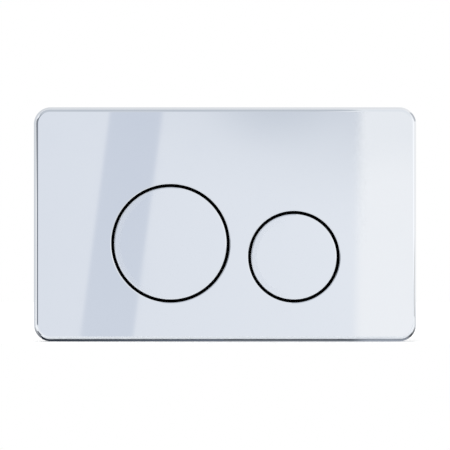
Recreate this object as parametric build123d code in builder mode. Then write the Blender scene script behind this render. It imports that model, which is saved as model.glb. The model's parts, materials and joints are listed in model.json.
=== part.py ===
from build123d import *

import os
from dataclasses import dataclass
from math import atan2, cos, degrees, radians, sin

# Dual flush button plate for a concealed cistern, in millimetres.
# The wall is the plane y = 0 and the room is on the -Y side. A height below is measured
# out from the wall, so the front face is at y = -plate_depth and a negative height lies
# inside the wall. The origin is the middle of the plate's seat on the wall.

# Cover plate
plate_width = 245.0  # across the rim, at the wall
plate_height = 150.0
plate_depth = 12.0  # height of the front face
rim_gap = 0.4  # the rim stands off the tiles by this
rim_corner_radius = 9.5
side_lean = 1.7  # each side leans in by this between rim and face
face_edge_radius = 1.8
cover_wall = 2.2
opening_edge_radius = 0.7
opening_collar_wall = 1.6  # stiffening ring behind each opening
opening_collar_depth = 3.0
cover_rib_thickness = 1.2
cover_rib_depth = 2.5
cover_rib_top_inset = 30.0  # ribs in from the plate's edges
cover_rib_bottom_inset = 18.0
cover_rib_side_inset = 32.5
blade_width = 9.0  # blades that push into the spring clips
blade_thickness = 1.6
blade_tip_chamfer = 0.4

# Buttons
large_button_radius = 36.03
large_button_x = -34.8
small_button_radius = 27.44
small_button_x = 44.05
button_line_inset = 26.8  # from the plate's lower edge to the line both buttons stand on
button_travel = 6.0
ring_gap = 1.75  # black ring round each button
cap_thickness = 2.2
cap_skirt_wall = 1.6
cap_skirt_depth = 7.5  # from the face to the end of the skirt
cap_rim_width = 4.0  # the face rolls off gently over this width
cap_rim_drop = 0.022
cap_edge_radius = 0.9
cap_boss_radius = 2.6
cap_boss_length = 2.0
cap_boss_inset = 6.5  # boss axis in from the button's edge

# Button sliders
slider_thickness = 1.5
slider_clearance = 0.3  # slider disc inside the cap's skirt
slider_rib_thickness = 1.2
slider_rib_depth = 2.0
stem_radius = 4.0
socket_radius = 4.0  # rod socket beside the stem
stem_reach = 2.0  # the stem ends this far behind the cup floor
leg_inset = 8.0  # snap leg in from the button's edge
leg_width = 8.0
leg_thickness = 1.8
leg_count = 3
hook_reach = 1.4
hook_height = 3.0
hook_land = 0.6  # straight part of the hook's edge
hook_clearance = 0.3  # hook to the back of the cup floor
stop_clearance = 0.3  # slider to guide tube at full travel

# Return springs
spring_length = 12.3
spring_wire = 0.8
spring_turns = 4.0
spring_clearance = 0.35  # spring to guide tube and to its rims
spring_seat_clearance = 0.03
spring_rim_wall = 1.0
spring_rim_height = 1.5

# Button carrier
collar_recess = 1.0  # black collar below the front face
collar_clearance = 0.2  # collar inside the cover's opening
guide_clearance = 0.35  # button inside the collar
cup_floor = 2.0
cup_rib_thickness = 1.2
cup_rib_depth = 2.0
cup_rib_count = 6
stem_clearance = 0.3
guide_tube_wall = 1.2
hook_window_side = 0.5  # window past each side of a leg
hook_window_outer = 0.4  # window past the outside of a leg
hook_window_inner = 1.4  # room for a leg to bend in
driver_hole_radius = 3.2  # screwdriver access to the cap screws
web_thickness = 2.0
web_top_margin = 6.6  # web above the large cup
web_bottom_gap = 1.8  # web above the frame's lower bar
web_side_gap = 4.0  # web inside the frame's window
web_corner_radius = 5.0
web_lip_wall = 1.5
web_lip_height = 0.6
cover_boss_radius = 3.2
cover_boss_length = 5.5  # from the cover's inner face to the web
carrier_screw_inset = 7.0  # screw axis in from the web's edge

# Screws
carrier_screw_radius = 1.45
carrier_screw_bite = 4.6  # length in the cover's boss
carrier_screw_head_radius = 2.8
carrier_screw_head = 1.4
cap_screw_radius = 0.95
cap_screw_bite = 2.8  # length in the cap's boss
cap_screw_head_radius = 1.9
cap_screw_head = 1.3
pilot_clearance = 0.05
pilot_run_out = 0.4  # pilot hole past the screw's tip
screw_hole_clearance = 0.25

# Push rods
push_rod_stub_radius = 2.5  # threaded end
push_rod_step = 0.7  # plain rod thicker than its threaded end
push_rod_reach = 55.0  # tip behind the wall
push_rod_bite = 14.0  # length of the threaded end in the slider
push_rod_thread_run = 1.0  # thread left bare behind the lock nut
thread_clearance = 0.05
rod_end_chamfer = 0.4
lock_nut_flats = 8.0
lock_nut_thickness = 4.0
small_rod_offset_x = -8.85  # brings both rods to one height, 70 mm apart
small_rod_offset_z = 8.59

# Mounting frame
frame_gap = 3.0  # frame inside the cover's rim
frame_bead_height = 0.8  # bead that bears on the tiles
frame_bead_width = 6.0
frame_floor = 1.6
frame_rim_wall = 1.6
frame_rim_clearance = 0.5  # rim below the cover's ribs
frame_lip_height = 5.0
frame_side_bar = 29.0
frame_cross_bar = 12.0
frame_corner_radius = 4.5
window_corner_radius = 5.0
frame_rib_thickness = 1.4
frame_rib_height = 4.5
frame_rib_pitch = 23.0
fixing_pad_width = 22.0
fixing_pad_height = 20.0
fixing_pad_rise = 0.6
fixing_slot_length = 12.0
fixing_slot_clearance = 0.5

# Spring clips
clip_spacing = 124.0
clip_width = 10.0
clip_sheet = 0.5
clip_height = 4.5
clip_flare = 0.7
clip_flare_height = 1.0
clip_bend_radius = 0.5
blade_clearance = 0.1  # blade between the clip's legs
socket_wall = 1.4
socket_height = 2.6
socket_clearance = 0.1

# Fixing rods
fixing_inset = 14.8  # rod axis in from the frame's edge
fixing_stub_radius = 3.0  # threaded end through the frame
fixing_rod_step = 2.0  # shoulder that carries the frame
fixing_rod_reach = 60.0  # tip behind the wall
fixing_stub_end = 0.2  # rod end past the thumb nut
washer_radius = 8.0
washer_thickness = 1.0
thumb_nut_radius = 8.0
thumb_nut_thickness = 2.8
thumb_nut_scallops = 8
thumb_nut_scallop_radius = 1.6

# Heights worked out from the sizes above
face = plate_depth
cover_inner = face - cover_wall
draft = degrees(atan2(side_lean, face - rim_gap))
cap_inner = face - cap_thickness
slider_front = cap_inner - cap_boss_length
slider_back = slider_front - slider_thickness
floor_front = slider_back - spring_length
floor_back = floor_front - cup_floor
guide_top = slider_back - button_travel - stop_clearance
stem_end = floor_back - stem_reach
hook_top = floor_back - hook_clearance
leg_end = hook_top - hook_height
collar_top = face - collar_recess
web_front = cover_inner - cover_boss_length
web_back = web_front - web_thickness
lock_nut_end = stem_end - lock_nut_thickness
push_rod_shoulder = lock_nut_end - push_rod_thread_run
frame_deck = frame_bead_height + frame_floor
frame_rim_top = cover_inner - cover_rib_depth - frame_rim_clearance
pad_top = frame_deck + fixing_pad_rise
washer_top = pad_top + washer_thickness
thumb_nut_top = washer_top + thumb_nut_thickness
blade_end = frame_deck + clip_sheet + blade_clearance

# Radii and places worked out from the sizes above
guide_bore = stem_radius + stem_clearance
guide_tube_radius = guide_bore + guide_tube_wall
spring_radius = guide_tube_radius + spring_clearance + spring_wire / 2
spring_rim_bore = spring_radius + spring_wire / 2 + spring_clearance
spring_rim_radius = spring_rim_bore + spring_rim_wall
socket_bore = socket_radius + stem_clearance
push_rod_bore = push_rod_stub_radius + thread_clearance
push_rod_radius = push_rod_stub_radius + push_rod_step
fixing_rod_radius = fixing_stub_radius + fixing_rod_step
frame_width = plate_width - 2 * (cover_wall + frame_gap)
frame_height = plate_height - 2 * (cover_wall + frame_gap)
window_width = frame_width - 2 * frame_side_bar
window_height = frame_height - 2 * frame_cross_bar
web_width = window_width - 2 * web_side_gap
clip_z = frame_height / 2 - frame_cross_bar / 2
clip_places = {
    "upper_left_clip": (-clip_spacing / 2, clip_z),
    "upper_right_clip": (clip_spacing / 2, clip_z),
    "lower_left_clip": (-clip_spacing / 2, -clip_z),
    "lower_right_clip": (clip_spacing / 2, -clip_z),
}
fixing_x = frame_width / 2 - fixing_inset
fixing_places = {"left": (-fixing_x, 0), "right": (fixing_x, 0)}
button_line_z = button_line_inset - plate_height / 2
outwards = Vector(0, -1, 0)


@dataclass
class Button:
    """One press button: its place on the plate, and its push rod's place on it."""

    name: str
    x: float
    radius: float
    rod_offset: tuple

    @property
    def centre(self):
        """Middle of the button on the wall plane."""
        return (self.x, button_line_z + self.radius)

    @property
    def rod_centre(self):
        """Axis of the push rod on the wall plane."""
        return (self.centre[0] + self.rod_offset[0], self.centre[1] + self.rod_offset[1])

    @property
    def opening(self):
        """Radius of the cover's opening."""
        return self.radius + ring_gap

    @property
    def cup_radius(self):
        """Outside radius of the carrier's cup and collar."""
        return self.opening - collar_clearance

    @property
    def sockets(self):
        """Offsets of rod sockets beside the stem: none where the stem itself takes the rod."""
        return [self.rod_offset] if any(self.rod_offset) else []

    @property
    def leg_radius(self):
        """Distance of the snap legs from the button's axis."""
        return self.radius - leg_inset

    @property
    def screw_radius(self):
        """Distance of the cap screws from the button's axis."""
        return self.radius - cap_boss_inset


large = Button("large", large_button_x, large_button_radius, (0, 0))
small = Button("small", small_button_x, small_button_radius, (small_rod_offset_x, small_rod_offset_z))
buttons = (large, small)
leg_start = 105  # direction of the first snap leg, in degrees
screw_start = 45  # direction of the first cap screw
rib_start = 15  # direction of the first radial rib
web_top_z = large.centre[1] + large.cup_radius + web_top_margin
web_bottom_z = web_bottom_gap - window_height / 2
web_height = web_top_z - web_bottom_z
web_centre = (0, (web_top_z + web_bottom_z) / 2)
middle_rib_x = (large.x + large.opening + small.x - small.opening) / 2


def level(height, centre=(0, 0)):
    """Plane parallel to the wall at a height, with local x to the right and local y up."""
    return Plane(origin=(centre[0], -height, centre[1]), x_dir=(1, 0, 0), z_dir=outwards)


def save(piece, label):
    """Label a finished piece and write its STEP file."""
    piece.part.label = label
    export_step(piece.part, f"parts/{label}.step")


def carrier_screw_places():
    """Three by two pattern of screws round the carrier's web."""
    return GridLocations(
        web_width / 2 - carrier_screw_inset, web_height - 2 * carrier_screw_inset, 3, 2
    )


def radial_ribs(inner, outer, thickness, count):
    """Spokes between two radii, drawn in the current sketch."""
    with PolarLocations((inner + outer) / 2, count, start_angle=rib_start):
        Rectangle(outer - inner, thickness)


def make_cap(button):
    """Plated button cap: a shallow cup with a soft rim and three screw bosses behind."""
    x, z = button.centre
    with BuildPart() as cap:
        with BuildSketch(Plane(origin=(x, 0, z), x_dir=(1, 0, 0), z_dir=(0, 0, 1))) as half:
            with BuildLine():
                flat = Line((0, -face), (button.radius - cap_rim_width, -face))
                TangentArc(
                    flat @ 1, (button.radius, cap_rim_drop - face), tangent=flat % 1
                )
                Polyline(
                    (button.radius, cap_rim_drop - face),
                    (button.radius, cap_skirt_depth - face),
                    (button.radius - cap_skirt_wall, cap_skirt_depth - face),
                    (button.radius - cap_skirt_wall, -cap_inner),
                    (0, -cap_inner),
                    (0, -face),
                )
            make_face()
            fillet(half.vertices().group_by(Axis.X)[-1].sort_by(Axis.Y)[0], cap_edge_radius)
        revolve(axis=Axis((x, 0, z), (0, 1, 0)))
        with BuildSketch(level(cap_inner, button.centre)):
            with PolarLocations(button.screw_radius, leg_count, start_angle=screw_start):
                Circle(cap_boss_radius)
        extrude(amount=-cap_boss_length)
        with BuildSketch(level(slider_front, button.centre)):
            with PolarLocations(button.screw_radius, leg_count, start_angle=screw_start):
                Circle(cap_screw_radius + pilot_clearance)
        extrude(amount=cap_screw_bite + pilot_run_out, mode=Mode.SUBTRACT)
    return cap


def make_slider(button):
    """Button slider: disc under the cap, guide stem, rod socket and three snap legs."""
    disc_radius = button.radius - cap_skirt_wall - slider_clearance
    with BuildPart() as slider:
        with BuildSketch(level(slider_back, button.centre)):
            Circle(disc_radius)
        extrude(amount=slider_thickness)
        with BuildSketch(level(slider_back, button.centre)):
            radial_ribs(spring_rim_bore, disc_radius, slider_rib_thickness, cup_rib_count)
        extrude(amount=-slider_rib_depth)
        with BuildSketch(level(slider_back, button.centre)):
            Circle(spring_rim_radius)
            Circle(spring_rim_bore, mode=Mode.SUBTRACT)
        extrude(amount=-spring_rim_height)
        with BuildSketch(level(slider_back, button.centre)):
            Circle(stem_radius)
            for offset in button.sockets:
                with Locations(offset):
                    Circle(socket_radius)
        extrude(amount=stem_end - slider_back)
        with BuildSketch(level(slider_back, button.centre)):
            with PolarLocations(button.leg_radius, leg_count, start_angle=leg_start):
                Rectangle(leg_thickness, leg_width)
        extrude(amount=leg_end - slider_back)
        for turn in range(leg_count):
            angle = radians(leg_start + turn * 360 / leg_count)
            radial = Vector(cos(angle), 0, sin(angle))
            axis_point = Vector(button.centre[0], -hook_top, button.centre[1])
            root = axis_point + radial * (button.leg_radius + leg_thickness / 2)
            with BuildSketch(Plane(origin=root, x_dir=radial, z_dir=radial.cross(outwards))):
                with BuildLine():
                    Polyline(
                        (0, 0),
                        (hook_reach, 0),
                        (hook_reach, -hook_land),
                        (0, -hook_height),
                        close=True,
                    )
                make_face()
            extrude(amount=leg_width / 2, both=True)
        with BuildSketch(level(slider_front, button.centre)):
            with PolarLocations(button.screw_radius, leg_count, start_angle=screw_start):
                Circle(cap_screw_radius + screw_hole_clearance)
        extrude(amount=-slider_thickness, mode=Mode.SUBTRACT)
        with BuildSketch(level(stem_end, button.rod_centre)):
            Circle(push_rod_bore)
        extrude(amount=push_rod_bite, mode=Mode.SUBTRACT)
    return slider


def make_cap_screws(button):
    """The three screws that hold a cap on its slider."""
    with BuildPart() as screws:
        with BuildSketch(level(slider_back, button.centre)):
            with PolarLocations(button.screw_radius, leg_count, start_angle=screw_start):
                Circle(cap_screw_radius)
        extrude(amount=slider_thickness + cap_screw_bite)
        with BuildSketch(level(slider_back, button.centre)):
            with PolarLocations(button.screw_radius, leg_count, start_angle=screw_start):
                Circle(cap_screw_head_radius)
        extrude(amount=-cap_screw_head)
    return screws


def make_return_spring(button):
    """Coil spring between the cup floor and the slider, with a square wire section."""
    start = floor_front + spring_seat_clearance + spring_wire / 2
    rise = spring_length - 2 * spring_seat_clearance - spring_wire
    foot = Vector(button.centre[0], -start, button.centre[1])
    with BuildPart() as spring:
        with BuildLine() as coil:
            Helix(rise / spring_turns, rise, spring_radius, center=foot, direction=outwards)
        wire_start = coil.line @ 0
        with BuildSketch(Plane(origin=wire_start, x_dir=wire_start - foot, z_dir=coil.line % 0)):
            Rectangle(spring_wire, spring_wire)
        sweep(path=coil.line, is_frenet=True)
    return spring


def make_stepped_rod(centre, radius, reach, shoulder, stub_radius, stub_top):
    """Rod along Y with a thinner threaded stub in front of its shoulder, edges chamfered."""
    with BuildPart() as rod:
        with BuildSketch(level(-reach, centre)):
            Circle(radius)
        extrude(amount=shoulder + reach)
        with BuildSketch(level(shoulder, centre)):
            Circle(stub_radius)
        extrude(amount=stub_top - shoulder)
        circles = rod.edges().filter_by(GeomType.CIRCLE)
        thick_ends = circles.group_by(SortBy.RADIUS)[-1]
        chamfer(thick_ends + circles.sort_by(Axis.Y)[:1], rod_end_chamfer)
    return rod


def make_lock_nut(button):
    """Hexagon nut on the push rod, tight against the end of its socket."""
    with BuildPart() as nut:
        with BuildSketch(level(stem_end, button.rod_centre)):
            RegularPolygon(lock_nut_flats / 2, 6, major_radius=False)
            Circle(push_rod_bore, mode=Mode.SUBTRACT)
        extrude(amount=-lock_nut_thickness)
    return nut


def make_clip(centre):
    """Spring clip: one bent strip, open to the front, that grips a blade of the cover."""
    leg = blade_thickness / 2 + blade_clearance + clip_sheet / 2
    bottom = frame_deck + clip_sheet / 2
    mouth = frame_deck + clip_height - clip_flare_height
    with BuildPart() as clip:
        with BuildSketch(
            Plane(origin=(centre[0], 0, centre[1]), x_dir=(0, 0, 1), z_dir=(1, 0, 0))
        ):
            with BuildLine() as strip:
                FilletPolyline(
                    (-leg - clip_flare, mouth + clip_flare_height),
                    (-leg, mouth),
                    (-leg, bottom),
                    (leg, bottom),
                    (leg, mouth),
                    (leg + clip_flare, mouth + clip_flare_height),
                    radius=clip_bend_radius,
                )
            trace(strip.line, line_width=clip_sheet)
        extrude(amount=clip_width / 2, both=True)
    return clip


def make_washer(centre):
    """Flat washer under a thumb nut."""
    with BuildPart() as washer:
        with BuildSketch(level(pad_top, centre)):
            Circle(washer_radius)
            Circle(fixing_stub_radius + fixing_slot_clearance, mode=Mode.SUBTRACT)
        extrude(amount=washer_thickness)
    return washer


def make_thumb_nut(centre):
    """Scalloped nut, turned by hand, on a fixing rod."""
    with BuildPart() as nut:
        with BuildSketch(level(washer_top, centre)):
            Circle(thumb_nut_radius)
            Circle(fixing_stub_radius + thread_clearance, mode=Mode.SUBTRACT)
            with PolarLocations(thumb_nut_radius, thumb_nut_scallops):
                Circle(thumb_nut_scallop_radius, mode=Mode.SUBTRACT)
        extrude(amount=thumb_nut_thickness)
    return nut


os.makedirs("parts", exist_ok=True)

# Cover plate
with BuildPart() as cover_plate:
    with BuildSketch(level(rim_gap)):
        RectangleRounded(plate_width, plate_height, rim_corner_radius)
    extrude(amount=face - rim_gap, taper=draft)
    fillet(cover_plate.faces().sort_by(Axis.Y)[0].edges(), face_edge_radius)
    with BuildSketch(level(rim_gap)):
        RectangleRounded(
            plate_width - 2 * cover_wall,
            plate_height - 2 * cover_wall,
            rim_corner_radius - cover_wall,
        )
    extrude(amount=cover_inner - rim_gap, taper=draft, mode=Mode.SUBTRACT)
    rib_end = side_lean + cover_wall / 2
    with BuildSketch(level(cover_inner)):
        for rib_z in (plate_height / 2 - cover_rib_top_inset, cover_rib_bottom_inset - plate_height / 2):
            with Locations((0, rib_z)):
                Rectangle(plate_width - 2 * rib_end, cover_rib_thickness)
        side_rib_x = plate_width / 2 - cover_rib_side_inset
        for rib_x in (-side_rib_x, middle_rib_x, side_rib_x):
            with Locations((rib_x, 0)):
                Rectangle(cover_rib_thickness, plate_height - 2 * rib_end)
    extrude(amount=-cover_rib_depth)
    for button in buttons:
        with BuildSketch(level(cover_inner, button.centre)):
            Circle(button.opening + opening_collar_wall)
        extrude(amount=-opening_collar_depth)
    with BuildSketch(level(cover_inner, web_centre)):
        with carrier_screw_places():
            Circle(cover_boss_radius)
    extrude(amount=-cover_boss_length)
    with BuildSketch(level(web_front, web_centre)):
        with carrier_screw_places():
            Circle(carrier_screw_radius + pilot_clearance)
    extrude(amount=carrier_screw_bite + pilot_run_out, mode=Mode.SUBTRACT)
    for place in clip_places.values():
        with BuildSketch(level(cover_inner, place)):
            Rectangle(blade_width, blade_thickness)
        extrude(amount=blade_end - cover_inner)
    blade_tips = cover_plate.faces().filter_by_position(Axis.Y, -blade_end - 0.01, -blade_end + 0.01)
    chamfer(blade_tips.edges().filter_by(Axis.X), blade_tip_chamfer)
    for button in buttons:
        with BuildSketch(level(face, button.centre)):
            Circle(button.opening)
        extrude(amount=-(cover_wall + opening_collar_depth), mode=Mode.SUBTRACT)
    mouths = cover_plate.edges().filter_by(GeomType.CIRCLE).group_by(Axis.Y)[0]
    fillet(mouths.filter_by(lambda edge: edge.radius > rim_corner_radius), opening_edge_radius)
save(cover_plate, "cover_plate")

# Button carrier
with BuildPart() as button_carrier:
    with BuildSketch(level(web_back, web_centre)):
        RectangleRounded(web_width, web_height, web_corner_radius)
    extrude(amount=web_thickness)
    with BuildSketch(level(web_back, web_centre)):
        RectangleRounded(web_width, web_height, web_corner_radius)
        RectangleRounded(
            web_width - 2 * web_lip_wall,
            web_height - 2 * web_lip_wall,
            web_corner_radius - web_lip_wall,
            mode=Mode.SUBTRACT,
        )
    extrude(amount=web_lip_height - web_back)
    for button in buttons:
        with BuildSketch(level(floor_back, button.centre)):
            Circle(button.cup_radius)
        extrude(amount=collar_top - floor_back)
        with BuildSketch(level(floor_back, button.centre)):
            radial_ribs(spring_rim_radius, button.cup_radius, cup_rib_thickness, cup_rib_count)
        extrude(amount=-cup_rib_depth)
    window_inner = leg_thickness / 2 + hook_window_inner
    window_outer = leg_thickness / 2 + hook_window_outer
    for button in buttons:
        with BuildSketch(level(floor_front, button.centre)):
            Circle(button.radius + guide_clearance)
        extrude(amount=collar_top - floor_front, mode=Mode.SUBTRACT)
        with BuildSketch(level(floor_front, button.centre)):
            Circle(guide_tube_radius)
        extrude(amount=guide_top - floor_front)
        with BuildSketch(level(floor_front, button.centre)):
            Circle(spring_rim_radius)
            Circle(spring_rim_bore, mode=Mode.SUBTRACT)
        extrude(amount=spring_rim_height)
        with BuildSketch(level(floor_back - cup_rib_depth, button.centre)):
            Circle(guide_bore)
            for offset in button.sockets:
                with Locations(offset):
                    Circle(socket_bore)
            with PolarLocations(
                button.leg_radius + (window_outer - window_inner) / 2,
                leg_count,
                start_angle=leg_start,
            ):
                Rectangle(window_inner + window_outer, leg_width + 2 * hook_window_side)
            with PolarLocations(button.screw_radius, leg_count, start_angle=screw_start):
                Circle(driver_hole_radius)
        extrude(amount=guide_top - floor_back + cup_rib_depth, mode=Mode.SUBTRACT)
    with BuildSketch(level(web_back, web_centre)):
        with carrier_screw_places():
            Circle(carrier_screw_radius + screw_hole_clearance)
    extrude(amount=web_thickness, mode=Mode.SUBTRACT)
save(button_carrier, "button_carrier")

# Screws that hold the carrier to the cover
with BuildPart() as carrier_screws:
    with BuildSketch(level(web_back, web_centre)):
        with carrier_screw_places():
            Circle(carrier_screw_radius)
    extrude(amount=web_thickness + carrier_screw_bite)
    with BuildSketch(level(web_back, web_centre)):
        with carrier_screw_places():
            Circle(carrier_screw_head_radius)
    extrude(amount=-carrier_screw_head)
save(carrier_screws, "carrier_screws")

# The two buttons, each with its slider, screws, spring, push rod and lock nut
for button in buttons:
    save(make_cap(button), f"{button.name}_button_cap")
    save(make_slider(button), f"{button.name}_button_slider")
    save(make_cap_screws(button), f"{button.name}_cap_screws")
    save(make_return_spring(button), f"{button.name}_return_spring")
    push_rod = make_stepped_rod(
        button.rod_centre,
        push_rod_radius,
        push_rod_reach,
        push_rod_shoulder,
        push_rod_stub_radius,
        stem_end + push_rod_bite,
    )
    save(push_rod, f"{button.name}_push_rod")
    save(make_lock_nut(button), f"{button.name}_lock_nut")

# Mounting frame
with BuildPart() as mounting_frame:
    with BuildSketch(level(frame_bead_height)):
        RectangleRounded(frame_width, frame_height, frame_corner_radius)
        RectangleRounded(window_width, window_height, window_corner_radius, mode=Mode.SUBTRACT)
    extrude(amount=frame_floor)
    with BuildSketch(level(0)):
        RectangleRounded(frame_width, frame_height, frame_corner_radius)
        Rectangle(
            frame_width - 2 * frame_bead_width,
            frame_height - 2 * frame_bead_width,
            mode=Mode.SUBTRACT,
        )
    extrude(amount=frame_bead_height)
    with BuildSketch(level(frame_deck)):
        RectangleRounded(frame_width, frame_height, frame_corner_radius)
        RectangleRounded(
            frame_width - 2 * frame_rim_wall,
            frame_height - 2 * frame_rim_wall,
            frame_corner_radius - frame_rim_wall,
            mode=Mode.SUBTRACT,
        )
    extrude(amount=frame_rim_top - frame_deck)
    with BuildSketch(level(frame_deck)):
        RectangleRounded(
            window_width + 2 * frame_rim_wall,
            window_height + 2 * frame_rim_wall,
            window_corner_radius + frame_rim_wall,
        )
        RectangleRounded(window_width, window_height, window_corner_radius, mode=Mode.SUBTRACT)
    extrude(amount=frame_lip_height - frame_deck)
    with BuildSketch(level(frame_deck)):
        for rib_z in (-2 * frame_rib_pitch, -frame_rib_pitch, frame_rib_pitch, 2 * frame_rib_pitch):
            with Locations((0, rib_z)):
                with GridLocations(frame_width - frame_side_bar, 0, 2, 1):
                    Rectangle(frame_side_bar, frame_rib_thickness)
    extrude(amount=frame_rib_height - frame_deck)
    for place in fixing_places.values():
        with BuildSketch(level(frame_deck, place)):
            Rectangle(fixing_pad_width, fixing_pad_height)
        extrude(amount=fixing_pad_rise)
        with BuildSketch(level(pad_top, place)):
            SlotOverall(fixing_slot_length, 2 * (fixing_stub_radius + fixing_slot_clearance))
        extrude(amount=frame_bead_height - pad_top, mode=Mode.SUBTRACT)
    socket_half = blade_thickness / 2 + blade_clearance + clip_sheet + socket_clearance
    for place in clip_places.values():
        with BuildSketch(level(frame_deck, place)):
            with GridLocations(0, 2 * socket_half + socket_wall, 1, 2):
                Rectangle(clip_width, socket_wall)
        extrude(amount=socket_height)
save(mounting_frame, "mounting_frame")

# Spring clips in the frame
for label, place in clip_places.items():
    save(make_clip(place), label)

# Fixing rods, each with its washer and thumb nut
for side, place in fixing_places.items():
    fixing_rod = make_stepped_rod(
        place,
        fixing_rod_radius,
        fixing_rod_reach,
        frame_bead_height,
        fixing_stub_radius,
        thumb_nut_top + fixing_stub_end,
    )
    save(fixing_rod, f"{side}_fixing_rod")
    save(make_washer(place), f"{side}_washer")
    save(make_thumb_nut(place), f"{side}_thumb_nut")
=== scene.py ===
"""Looks of the dual flush button plate: chrome, plastics, springs, threads, screws and a white studio."""

import json
import logging
import math
from dataclasses import dataclass
from enum import Enum
from typing import Any

import bmesh
import bpy
import numpy as np
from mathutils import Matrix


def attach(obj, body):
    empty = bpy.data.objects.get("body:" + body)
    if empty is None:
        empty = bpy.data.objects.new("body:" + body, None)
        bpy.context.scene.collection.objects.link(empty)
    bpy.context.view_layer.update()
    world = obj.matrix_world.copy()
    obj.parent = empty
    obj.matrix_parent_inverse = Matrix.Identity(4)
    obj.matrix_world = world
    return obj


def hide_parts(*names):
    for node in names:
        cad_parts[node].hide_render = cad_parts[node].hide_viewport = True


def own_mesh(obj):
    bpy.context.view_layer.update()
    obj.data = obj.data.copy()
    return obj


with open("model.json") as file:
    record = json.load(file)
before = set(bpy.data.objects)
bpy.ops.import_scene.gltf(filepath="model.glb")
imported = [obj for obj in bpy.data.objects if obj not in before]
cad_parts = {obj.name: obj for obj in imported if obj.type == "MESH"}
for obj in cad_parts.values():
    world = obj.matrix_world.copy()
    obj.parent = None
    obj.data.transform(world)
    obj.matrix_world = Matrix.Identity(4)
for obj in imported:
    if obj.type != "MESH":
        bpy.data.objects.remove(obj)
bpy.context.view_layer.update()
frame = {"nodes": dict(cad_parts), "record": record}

# Sizes and places are millimetres in the plate's own frame: the wall is y = 0 and the face looks to -Y.
# The depths of bump in the finishes are metres.
MM = 0.001
# Points closer than this many metres become one.
WELD = 1e-6
# Width of the narrow strips that keep a flat face flat in the shading.
SUPPORT = 0.05
# Share of a wall's thickness that the bosses, ribs and blades on it reach into it.
SINK = 0.25
# Middle of what runs from 0 to 1, such as a noise, a share or a card's UV map.
MIDDLE = 0.5
Colour = tuple[float, float, float]
Vector = tuple[float, float, float]
Place = tuple[float, float]
Pair = tuple[float, float]
log = logging.getLogger("flush_button_plate")


class Slot(Enum):
    """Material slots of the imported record."""

    CHROME = "chrome"
    BLACK = "black_plastic"
    GREY = "grey_plastic"
    WHITE = "white_plastic"
    STEEL = "steel"


class Body(Enum):
    """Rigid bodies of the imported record."""

    PLATE = "plate"
    LARGE = "large_button"
    SMALL = "small_button"


class Way(Enum):
    """Direction in which a card's tone changes, as an axis of its UV map."""

    ACROSS = "X"
    UP = "Y"


# Shader tools


class Socket:
    """An output of a node. Arithmetic on it adds Math nodes to its graph."""

    def __init__(self, graph: "Graph", link: bpy.types.NodeSocket | None) -> None:
        """Keep the graph and the output socket."""
        self.graph = graph
        self.link = link

    def __add__(self, other: Any) -> "Socket":
        """Sum of two values."""
        return self.graph.maths("ADD", self, other)

    def __radd__(self, other: Any) -> "Socket":
        """Sum with a number on the left."""
        return self.graph.maths("ADD", other, self)

    def __sub__(self, other: Any) -> "Socket":
        """Difference of two values."""
        return self.graph.maths("SUBTRACT", self, other)

    def __rsub__(self, other: Any) -> "Socket":
        """Difference with a number on the left."""
        return self.graph.maths("SUBTRACT", other, self)

    def __mul__(self, other: Any) -> "Socket":
        """Product of two values."""
        return self.graph.maths("MULTIPLY", self, other)

    def __rmul__(self, other: Any) -> "Socket":
        """Product with a number on the left."""
        return self.graph.maths("MULTIPLY", other, self)

    def __or__(self, other: Any) -> "Socket":
        """Larger of two values, which joins two masks."""
        return self.graph.maths("MAXIMUM", self, other)

    def __ror__(self, other: Any) -> "Socket":
        """Larger of two values with a number on the left."""
        return self.graph.maths("MAXIMUM", other, self)

    def smooth(self, low: float, high: float) -> "Socket":
        """Smooth step from 0 at low to 1 at high."""
        inputs = {"Value": self, "From Min": low, "From Max": high}
        return self.graph.add("ShaderNodeMapRange", {"interpolation_type": "SMOOTHSTEP"}, inputs)


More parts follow.
